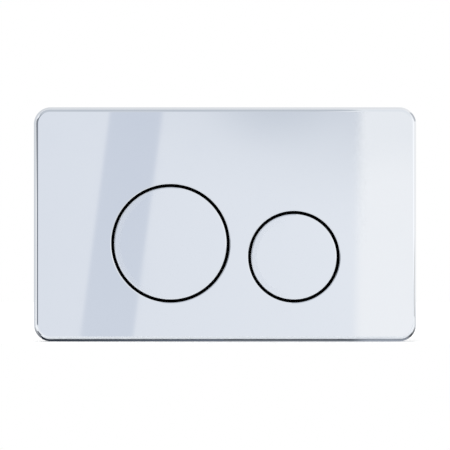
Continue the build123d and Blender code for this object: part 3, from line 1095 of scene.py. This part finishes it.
@dataclass
class ThreadedRod:
    """A moulded rod along Y, with a thread on the stub at its front end and sometimes one on its shank.

    The flank and the crest shape a thread's wave, the run-out is a number of pitches, the stations
    are rows of points to a pitch, and the jump is the height of the step at the shoulder.
    """

    node: str
    body: Body
    x: float
    z: float
    stub_radius: float
    stub_top: float
    shoulder: float
    radius: float
    reach: float
    threads: tuple[Thread, ...]
    chamfer: float = 0.4
    flank: float = 2.6
    crest: float = 0.8
    run_out: float = 0.8
    jump: float = 1e-6
    decimals: int = 6
    stations: int = 12
    sides: int = 56
    sharp: float = 40.0

    def outline(self) -> tuple[np.ndarray, np.ndarray]:
        """Turned outline without its threads, from the tip to the end of the stub.

        Returns:
            Heights and radii.
        """
        points = [
            (-self.reach, self.radius - self.chamfer),
            (self.chamfer - self.reach, self.radius),
            (self.shoulder - self.chamfer, self.radius),
            (self.shoulder, self.radius - self.chamfer),
            (self.shoulder + self.jump, self.stub_radius),
            (self.stub_top - self.chamfer, self.stub_radius),
            (self.stub_top, self.stub_radius - self.chamfer),
        ]
        height, radius = np.array(points).T
        return height, radius

    def build(self, plastic: bpy.types.Material) -> None:
        """Make the rod and dress it.

        The radius is the turned outline less a thread: a wave of height and angle, flat at its
        crest and root, that runs out at both ends of each threaded stretch.

        Args:
            plastic: Material of the rod.
        """
        heights, radii = self.outline()
        finest = min(thread.pitch for thread in self.threads) / self.stations
        dense = [
            np.arange(thread.low, thread.high, min(thread.pitch / self.stations, 2 * finest))
            for thread in self.threads
        ]
        station = np.unique(np.round(np.concatenate([heights, *dense]), self.decimals))
        angle = around(self.sides)
        radius = np.repeat(np.interp(station, heights, radii)[:, None], self.sides, axis=1)
        for thread in self.threads:
            phase = (station[:, None] / thread.pitch - angle[None] / (2 * math.pi)) % 1.0
            groove = np.clip(self.flank * np.abs(2 * phase - 1) - self.crest, 0, 1)
            from_end = np.minimum(station - thread.low, thread.high - station)
            ease = np.clip(from_end / (self.run_out * thread.pitch), 0, 1)
            radius = radius - thread.depth * groove * ease[:, None]
        rows = ring(radius, station, angle, (self.x, self.z))
        ends = [rows[:1] * 0 + np.array([self.x, -y, self.z]) for y in (station[0], station[-1])]
        skin = Skin(np.concatenate([ends[0], rows, ends[1]]))
        piece = make_piece(self.node.replace("rod", "threaded_rod"), [skin], self.sharp)
        dress(piece, plastic, self.body, Slot.WHITE, self.node)


@dataclass
class ScrewSet:
    """Small pan-head screws with a cross recess, all facing the back.

    The recess and the dome are shares of the head's radius and height, the point of the shank's radius.
    """

    node: str
    body: Body
    places: list[Place]
    under_head: float
    head_radius: float
    head: float
    radius: float
    length: float
    dome: float = 0.45
    bar_width: float = 0.17
    bar_edge: float = 0.05
    bar_reach: float = 0.68
    bar_fade: float = 0.12
    bar_depth: float = 0.62
    bar_rise: float = 0.3
    point_length: float = 2.0
    point_radius: float = 0.3
    rows: int = 22
    sides: int = 48

    def skin(self, place: Place) -> Skin:
        """One screw.

        The head is a dome r -> head (1 - dome r^4) with a cross cut into it, the cross being the
        larger of two bars that fade out towards the rim and grow shallower outwards. A plain
        shank with a point follows.

        Args:
            place: X and Z of the screw.

        Returns:
            The closed skin.
        """
        angle = around(self.sides)
        share = np.linspace(0, 1, self.rows)[:, None]
        u, v = share * np.cos(angle), share * np.sin(angle)
        bars = [
            np.clip((self.bar_width - np.abs(a)) / self.bar_edge, 0, 1)
            * np.clip((self.bar_reach - np.abs(b)) / self.bar_fade, 0, 1)
            for a, b in ((u, v), (v, u))
        ]
        cross = np.maximum(*bars) * (self.bar_depth - self.bar_rise * share)
        height = self.under_head - self.head * (1 - self.dome * share**4 - cross)
        top_x = place[0] + self.head_radius * u
        top_z = place[1] + self.head_radius * v
        top = np.stack([top_x, -height, top_z], axis=-1)
        tip = self.under_head + self.length
        shank = [
            (self.head_radius, self.under_head),
            (self.radius, self.under_head),
            (self.radius, tip - self.point_length * self.radius),
            (self.point_radius * self.radius, tip),
            (0, tip),
        ]
        radius, height = np.array(shank).T
        return Skin(np.concatenate([top, ring(radius, height, angle, place)]))

    def build(self, steel: bpy.types.Material) -> None:
        """Make the screws as one piece and dress it."""
        piece = make_piece(f"{self.node}_cross_head", [self.skin(place) for place in self.places])
        dress(piece, steel, self.body, Slot.STEEL, self.node)


# Studio


@dataclass(frozen=True)
class Outline:
    """Outline of a flat card: the two ends of its first and of its last side, and where those sides lie."""

    first: Pair
    last: Pair
    first_at: float
    last_at: float

    def corners(self) -> list[Place]:
        """Corners along the first side and back along the last.

        Returns:
            The four corners.
        """
        first = [(end, self.first_at) for end in self.first]
        last = [(end, self.last_at) for end in self.last]
        return first + last[::-1]


def rectangle(left: float, right: float, first_at: float, last_at: float) -> Outline:
    """Outline of a rectangular card."""
    return Outline((left, right), (left, right), first_at, last_at)


def flat_sheet(name: str, corners: list[Vector], finish: bpy.types.Material) -> bpy.types.Object:
    """One flat face.

    Args:
        name: Name of the new object.
        corners: Its four corners.
        finish: Its material.

    Returns:
        The new object.
    """
    mesh = bpy.data.meshes.new(name)
    mesh.from_pydata((np.array(corners, float) * MM).tolist(), [], [(0, 1, 2, 3)])
    mesh.materials.append(finish)
    return add_object(name, mesh)


@dataclass
class Card:
    """A studio card: its paper, and its four corners in the order of the corners of its UV map."""

    name: str
    corners: list[Vector]
    paper: CardPaper

    def build(self) -> None:
        """Make the card with a UV map for its soft edges; only mirrors show it."""
        card = flat_sheet(self.name, self.corners, self.paper.material(self.name))
        uv = card.data.uv_layers.new(name="card")
        uv.data.foreach_set("uv", [0.0, 0.0, 1.0, 0.0, 1.0, 1.0, 0.0, 1.0])
        card.visible_camera = False
        card.visible_diffuse = False
        card.visible_shadow = False


@dataclass
class Studio:
    """White studio: floor, soft light from all round, paper cards behind the camera, and the camera."""

    lens: float = 400.0
    sensor: float = 36.0
    clip_end: float = 50000.0
    frame_width: float = 288.5
    view_drop: float = 0.45
    floor_z: float = -75.0
    floor_front: float = 60.0
    floor_back: float = 1600.0
    floor_side: float = 1500.0
    plate_front: float = -12.0
    card_y: float = -3500.0
    card_gap: float = 30.0
    soft_edge: float = 9.6
    wide_span: float = 570.0
    right_span: float = 420.0
    apron_side: float = 2500.0
    apron_overlap: float = 30.0
    layer_gap: float = 0.01
    under_side: float = 123.5
    dim: Colour = (0.16, 0.168, 0.185)
    base_light: float = 0.72
    key_light: float = 0.55
    key_from: Vector = (-0.45, -0.45, 0.77)

    @property
    def camera_y(self) -> float:
        """Camera's place in front of the plate, from the lens and the width that the picture takes in."""
        return -self.lens * self.frame_width / self.sensor

    def mirrored(self, x: float, z: float) -> Vector:
        """Point of the card plane that the camera sees mirrored in the plate's face.

        Args:
            x: Place across the face.
            z: Height on the face.

        Returns:
            The point behind the camera.
        """
        to_camera = self.plate_front - self.camera_y
        to_card = self.plate_front - self.card_y
        stretch = 1 + to_card / to_camera
        return (x * stretch, self.card_y, z * stretch)

    def camera(self) -> None:
        """Square-on camera with a long lens."""
        data = bpy.data.cameras.new("camera")
        data.lens = self.lens
        data.sensor_width = self.sensor
        data.clip_end = self.clip_end * MM
        camera = add_object("camera", data)
        camera.location = (0.0, self.camera_y * MM, -self.view_drop * MM)
        camera.rotation_euler = (math.pi / 2, 0.0, 0.0)
        bpy.context.scene.camera = camera

    def floor(self) -> None:
        """Plain white floor under the plate's lower edge."""
        outline = rectangle(-self.floor_side, self.floor_side, -self.floor_front, self.floor_back)
        corners = [(x, y, self.floor_z) for x, y in outline.corners()]
        floor = flat_sheet("floor", corners, WhiteFloor().material("floor"))

    def world(self) -> None:
        """White surroundings, with soft light that is stronger from the upper left."""
        world = bpy.data.worlds.new("studio")
        bpy.context.scene.world = world
        graph = Graph(world)
        toward = graph.add("ShaderNodeTexCoord", output="Generated")
        facing = graph.vectors("DOT_PRODUCT", toward, self.key_from, "Value")
        shown = graph.seen()
        light = self.base_light + self.key_light * (facing | 0.0)
        inputs = {"Color": (1.0, 1.0, 1.0, 1.0), "Strength": shown + (1 - shown) * light}
        background = graph.add("ShaderNodeBackground", None, inputs)
        graph.add("ShaderNodeOutputWorld", None, {"Surface": background})

    def front_cards(self) -> None:
        """Papers behind the camera, placed by the spot of the plate's face that mirrors their corners."""
        left_soft = self.soft_edge / self.wide_span
        right_soft = self.soft_edge / self.right_span
        wide = CardPaper((0.705, 0.736, 0.809), (0.907, 0.921, 0.950), soft_u=left_soft)
        strip = CardPaper((0.722, 0.757, 0.825), (0.690, 0.726, 0.803), Way.UP, soft_u=0.08)
        shade = CardPaper((0.62, 0.655, 0.715), round_edge=True)
        beyond = CardPaper((1.006, 0.999, 0.997), soft_u=right_soft)
        haze = CardPaper((0.952, 0.954, 0.960), soft_u=right_soft, soft_v=0.24)
        cards = [
            ("wide_paper", rectangle(-480.0, 90.0, -82.0, 300.0), wide),
            ("grey_strip", Outline((-94.5, -58.1), (-73.5, -37.1), -80.0, 80.0), strip),
            ("upper_shade", rectangle(-31.0, 92.0, 37.3, 165.3), shade),
            ("wide_shade", rectangle(-138.0, 458.0, -11.4, 250.7), shade),
            ("right_paper", Outline((78.4, 500.0), (84.9, 500.0), -82.0, 180.0), beyond),
            ("right_haze", Outline((81.0, 500.0), (84.9, 500.0), 23.0, 180.0), haze),
        ]
        for order, (name, outline, paper) in enumerate(cards):
            places = [self.mirrored(x, z) for x, z in outline.corners()]
            Card(name, [(x, y + order * self.card_gap, z) for x, y, z in places], paper).build()

    def side_cards(self) -> None:
        """Upright cards at the sides, for the edges and leaning sides of the plate."""
        grey = (0.22, 0.235, 0.26)
        bright = (1.20, 1.19, 1.18)
        flag = CardPaper(grey, soft_u=0.12, soft_v=0.04)
        left = CardPaper(grey, soft_v=0.12)
        right = CardPaper(bright, soft_v=0.02)
        low_right = CardPaper(self.dim, soft_v=0.3)
        for name, start, end, low, high, paper in (
            ("left_flag", (-2050.0, -810.0), (-510.0, -2070.0), -150.0, 900.0, flag),
            ("left_wing", (-2200.0, 550.0), (-2050.0, -820.0), 12.0, 900.0, left),
            ("right_wing", (2050.0, -750.0), (2200.0, 500.0), -70.0, 900.0, right),
            ("right_low", (900.0, 460.0), (420.0, 840.0), -120.0, -4.0, low_right),
        ):
            corners = [(*start, low), (*end, low), (*end, high), (*start, high)]
            Card(name, corners, paper).build()

    def top_cards(self) -> None:
        """A ceiling that rises to the back, grey on the left and pale on the right, for the upper edge."""
        grey = CardPaper((0.68, 0.705, 0.745), (0.56, 0.59, 0.63), soft_u=0.06, soft_v=0.008)
        pale = CardPaper((0.93, 0.94, 0.95), (0.86, 0.875, 0.895), soft_u=0.06, soft_v=0.008)
        front, back = (-3400.0, 500.0), (1200.0, 1600.0)
        for name, left, right, paper in (
            ("ceiling", -1600.0, 126.0, grey),
            ("right_ceiling", 112.0, 1600.0, pale),
        ):
            corners = [(left, *front), (left, *back), (right, *back), (right, *front)]
            Card(name, corners, paper).build()

    def rear_cards(self) -> None:
        """A paper far behind the plate and a dim spot in front of it, for the leaning sides."""
        wide = CardPaper((0.534, 0.570, 0.620), (1.03, 1.02, 1.01), soft_u=0.05, soft_v=0.02)
        spot = CardPaper((0.50, 0.52, 0.56), soft_u=0.2, soft_v=0.2)
        for name, y, outline, paper in (
            ("rear_paper", 2000.0, rectangle(-1400.0, 1400.0, -115.0, 1200.0), wide),
            ("rear_dim", 1970.0, Outline((500.0, 760.0), (480.0, 740.0), 160.0, 520.0), spot),
        ):
            Card(name, [(x, y, z) for x, z in outline.corners()], paper).build()

    def aprons(self) -> None:
        """Two sheets that carry the floor on to the front and fall away from it."""
        shade = (0.42, 0.44, 0.475)
        near = CardPaper(shade, (1.0, 1.01, 1.017), Way.UP)
        far = CardPaper((0.36, 0.38, 0.415), shade, Way.UP)
        side = self.apron_side
        for name, (back_y, back_drop), (front_y, front_drop), paper in (
            ("near_apron", (self.apron_overlap - self.floor_front, 0.5), (-1000.0, 78.0), near),
            ("far_apron", (-950.0, 78.0), (-3300.0, 265.0), far),
        ):
            front, back = (front_y, self.floor_z - front_drop), (back_y, self.floor_z - back_drop)
            corners = [(-side, *front), (side, *front), (side, *back), (-side, *back)]
            Card(name, corners, paper).build()

    def low_cards(self) -> None:
        """Papers on the floor, in thin layers. Those under the plate, at its feet and next to its lower
        corners are painted shadow, seen only in its mirror; from its feet grey paths run on to the back.
        """
        # Painted contact shadow under the plate's lower edge: black at the front, lighter to the back,
        # darkest at the far left.
        shadow_black = (0.014, 0.021, 0.032)
        left_tone = (0.68, 0.70, 0.73)
        right_tone = (0.70, 0.715, 0.74)
        front = CardPaper(shadow_black, soft_v=0.05)
        under = CardPaper((0.56, 0.61, 0.68), shadow_black, Way.UP)
        dark = CardPaper((0.016, 0.021, 0.030), (0.155, 0.18, 0.225), soft_v=0.12)
        # Painted shadow behind the lower corners, darkest at the feet and fading to the back.
        left_foot_shadow = CardPaper((0.22, 0.23, 0.25), left_tone, Way.UP)
        right_foot_shadow = CardPaper((0.03, 0.032, 0.036), right_tone, Way.UP)
        left_path = CardPaper(left_tone, (0.66, 0.685, 0.72), Way.UP)
        right_path = CardPaper(right_tone, (0.90, 0.905, 0.91), Way.UP)
        # Painted shadow on the floor next to the plate's lower corners.
        beside = CardPaper(self.dim, soft_u=0.25, soft_v=0.25)
        # Paler painted shadow under the right end of the lower edge, dark at the front.
        pale = CardPaper((0.635, 0.685, 0.765), (0.122, 0.139, 0.172), Way.UP, soft_u=0.3)
        side = self.under_side
        for name, layer, outline, paper in (
            ("under_front_shadow", 4, rectangle(-side, side, -5.0, -9.5), front),
            ("under_shadow", 5, rectangle(-side, side, 6.0, -5.8), under),
            ("under_dark_shadow", 8, rectangle(-side, 0.0, 8.0, -6.2), dark),
            ("left_foot_shadow", 6, Outline((-125.6, -119.5), (-172.0, -133.0), 3.0, 160.0), left_foot_shadow),
            ("right_foot_shadow", 6, Outline((119.5, 125.6), (133.0, 172.0), 3.0, 160.0), right_foot_shadow),
            ("left_path", 3, Outline((-172.0, -140.0), (-800.0, -640.0), 155.0, 1990.0), left_path),
            ("right_path", 3, Outline((140.0, 172.0), (640.0, 800.0), 155.0, 1990.0), right_path),
            ("left_beside_shadow", 7, rectangle(-136.0, -119.0, -21.0, 4.0), beside),
            ("right_beside_shadow", 7, rectangle(112.0, 130.0, -10.0, 12.0), beside),
            ("under_pale_shadow", 9, rectangle(79.0, side, 6.0, -9.5), pale),
        ):
            level = self.floor_z + layer * self.layer_gap
            Card(name, [(x, y, level) for x, y in outline.corners()], paper).build()

    def build(self) -> None:
        """Set up floor, light, cards and camera."""
        bpy.context.scene.view_settings.view_transform = "Standard"
        self.floor()
        self.world()
        self.front_cards()
        self.side_cards()
        self.top_cards()
        self.rear_cards()
        self.aprons()
        self.low_cards()
        self.camera()
        log.info("studio ready, camera %.0f mm in front of the wall", -self.camera_y)


# The whole plate


@dataclass
class FlushButtonPlate:
    """The flush button plate: new pieces, and finishes for the CAD pieces that stay."""

    large: ButtonCap
    small: ButtonCap
    ring_gap: float = 1.75
    screw_columns: tuple[float, ...] = (-77.3, 0.0, 77.3)
    screw_rows: Pair = (25.01, -49.0)
    rod_z: float = -12.17
    push_rod_x: Pair = (-34.8, 35.2)
    fixing_x: float = 102.5

    def finishes(self) -> dict[Slot, bpy.types.Material]:
        """Make the materials.

        Returns:
            One material for each slot of the record.
        """
        black = MouldedPlastic(
            dark=(0.020, 0.020, 0.021),
            light=(0.030, 0.030, 0.031),
            roughness=0.58,
            specular=0.2,
            # Painted shade: the collar fronts in the gaps round the caps go near black.
            front=(0.001, 0.001, 0.001),
        )
        grey = MouldedPlastic(dark=(0.33, 0.335, 0.345), light=(0.38, 0.385, 0.395))
        # Painted shade along the left rims of both caps.
        rim_shades = tuple(LeftRimShade(cap.x, cap.z, cap.radius) for cap in (self.large, self.small))
        return {
            Slot.CHROME: ChromePlating(rim_shades).material("bright_chrome"),
            Slot.BLACK: black.material("black_moulding"),
            Slot.GREY: grey.material("grey_moulding"),
            Slot.WHITE: SmoothPlastic().material("white_acetal"),
            Slot.STEEL: BrightSteel().material("bright_steel"),
        }

    def dress_nodes(self, finishes: dict[Slot, bpy.types.Material]) -> None:
        """Give every CAD node the finish of its slot in the record.

        Args:
            finishes: One material for each slot.
        """
        for part in frame["record"]["subparts"]:
            node = frame["nodes"][part["node"]]
            node.material_slots[0].material = finishes[Slot(part["material_slot"])]
        log.info("%d CAD nodes dressed", len(frame["nodes"]))

    def build_button(self, cap: ButtonCap, rod_x: float, finishes: dict[Slot, bpy.types.Material]) -> None:
        """Make one button's cap, spring, screws and push rod.

        Args:
            cap: The button's cap.
            rod_x: Place of its push rod across the plate.
            finishes: One material for each slot.
        """
        cap.build(finishes[Slot.CHROME])
        ReturnSpring(cap.name, cap.x, cap.z).build(finishes[Slot.STEEL])
        ScrewSet(
            node=f"{cap.name}_cap_screws",
            body=cap.body,
            places=cap.screw_places(),
            under_head=6.3,
            head_radius=1.9,
            head=1.3,
            radius=0.95,
            length=4.3,
        ).build(finishes[Slot.STEEL])
        ThreadedRod(
            node=f"{cap.name}_push_rod",
            body=cap.body,
            x=rod_x,
            z=self.rod_z,
            stub_radius=2.5,
            stub_top=4.0,
            shoulder=-15.0,
            radius=3.2,
            reach=55.0,
            threads=(Thread(low=-15.0, high=4.0, pitch=1.0, depth=0.35),),
        ).build(finishes[Slot.WHITE])

    def build_fixing(self, side: str, x: float, plastic: bpy.types.Material) -> None:
        """Make one fixing rod, with a fine thread on its stub and a coarse one on its shank.

        Args:
            side: Name of the side that it is on.
            x: Its place across the plate.
            plastic: Material of the rod.
        """
        fine = Thread(low=0.8, high=7.0, pitch=1.0, depth=0.4)
        coarse = Thread(low=-58.5, high=-12.0, pitch=2.5, depth=0.9)
        ThreadedRod(
            node=f"{side}_fixing_rod",
            body=Body.PLATE,
            x=x,
            z=0.0,
            stub_radius=3.0,
            stub_top=7.0,
            shoulder=0.8,
            radius=5.0,
            reach=60.0,
            threads=(fine, coarse),
        ).build(plastic)

    def build(self) -> None:
        """Make and dress every piece."""
        finishes = self.finishes()
        self.dress_nodes(finishes)
        openings = [Opening(cap.x, cap.z, cap.radius + self.ring_gap) for cap in (self.large, self.small)]
        screws = [(x, z) for x in self.screw_columns for z in self.screw_rows]
        CoverPlate(*openings).build(finishes[Slot.CHROME], screws)
        ScrewSet(
            node="carrier_screws",
            body=Body.PLATE,
            places=screws,
            under_head=2.3,
            head_radius=2.8,
            head=1.4,
            radius=1.45,
            length=6.6,
        ).build(finishes[Slot.STEEL])
        for cap, rod_x in zip((self.large, self.small), self.push_rod_x):
            self.build_button(cap, rod_x, finishes)
        for side, x in (("left", -self.fixing_x), ("right", self.fixing_x)):
            self.build_fixing(side, x, finishes[Slot.WHITE])


def main() -> None:
    """Build the plate and the studio."""
    logging.basicConfig(level=logging.INFO, format="%(name)s: %(message)s")
    large = ButtonCap("large", Body.LARGE, x=-34.8, z=-12.17, radius=36.03)
    small = ButtonCap("small", Body.SMALL, x=44.05, z=-20.76, radius=27.44)
    FlushButtonPlate(large, small).build()
    Studio().build()


if __name__ == "__main__":
    main()
